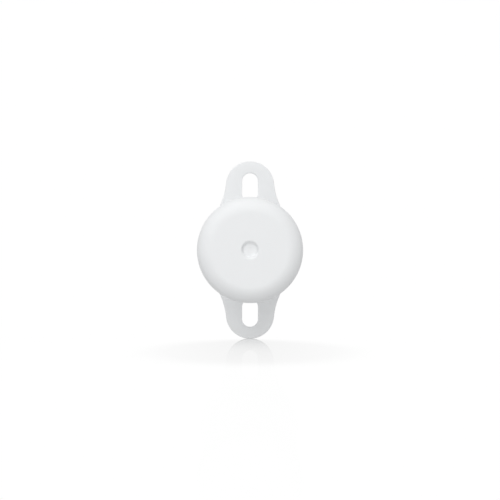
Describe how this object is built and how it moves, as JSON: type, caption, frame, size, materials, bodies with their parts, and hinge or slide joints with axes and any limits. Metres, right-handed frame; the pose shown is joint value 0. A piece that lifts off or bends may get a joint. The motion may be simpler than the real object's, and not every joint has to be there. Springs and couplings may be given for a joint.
{
  "type": "recessed door and window sensor",
  "caption": "White barrel sensor for a drilled hole: closed rounded end, thin flange with slotted screw ears, and a pull-out module with cap, button, board and cell.",
  "frame": {"origin": "on the barrel's axis at the flange's seating face", "axes": "-Y along the barrel towards its closed end, +Y out of the capped mouth, +Z and -Z along the screw ears"},
  "size_m": [0.0238, 0.0522, 0.043],
  "materials": {
    "sleeve_plastic": "fine satin",
    "cap_plastic": "fine satin",
    "button_plastic": "satin",
    "clear_plastic": "clear",
    "seal_rubber": "matt",
    "carrier_plastic": "satin",
    "black_plastic": "matt",
    "tinned_steel": "tinned",
    "zinc_steel": "zinc plated",
    "board_laminate": "satin solder mask",
    "chip_black": "matt",
    "ceramic_white": "glazed",
    "led_lens": "clear",
    "capacitor_tan": "satin",
    "reed_glass": "clear",
    "contact_nickel": "nickel plated",
    "can_steel": "nickel plated",
    "cell_filling": "matt",
    "insulator_grey": "matt",
    "wrap_film": "shrunk film"
  },
  "bodies": {
    "sleeve": {"sleeve_housing": "sleeve_plastic"},
    "module": {"end_cap": "cap_plastic", "cap_seal": "seal_rubber", "light_pipe": "clear_plastic", "switch_base": "black_plastic", "switch_frame": "tinned_steel", "carrier_frame": "carrier_plastic", "carrier_screws": "zinc_steel", "circuit_board": "board_laminate", "radio_chip": "chip_black", "shield_can": "tinned_steel", "crystal": "tinned_steel", "chip_antenna": "ceramic_white", "status_led": "led_lens", "voltage_regulator": "chip_black", "capacitors": "capacitor_tan", "resistors": "chip_black", "reed_glass": "reed_glass", "reed_leads": "tinned_steel", "positive_contact": "contact_nickel", "negative_contact": "contact_nickel", "battery_can": "can_steel", "battery_core": "cell_filling", "battery_insulator": "insulator_grey", "battery_cap": "can_steel", "battery_wrap": "wrap_film"},
    "button": {"action_button": "button_plastic", "switch_plunger": "black_plastic"}
  },
  "joints": [
    {"name": "module_pull", "type": "slide", "parent": "sleeve", "child": "module", "axis": [0, 1, 0], "range_m": [0, 0.048]},
    {"name": "button_press", "type": "slide", "parent": "module", "child": "button", "axis": [0, -1, 0], "range_m": [0, 0.0003], "stiffness_N_per_m": 2000}
  ]
}
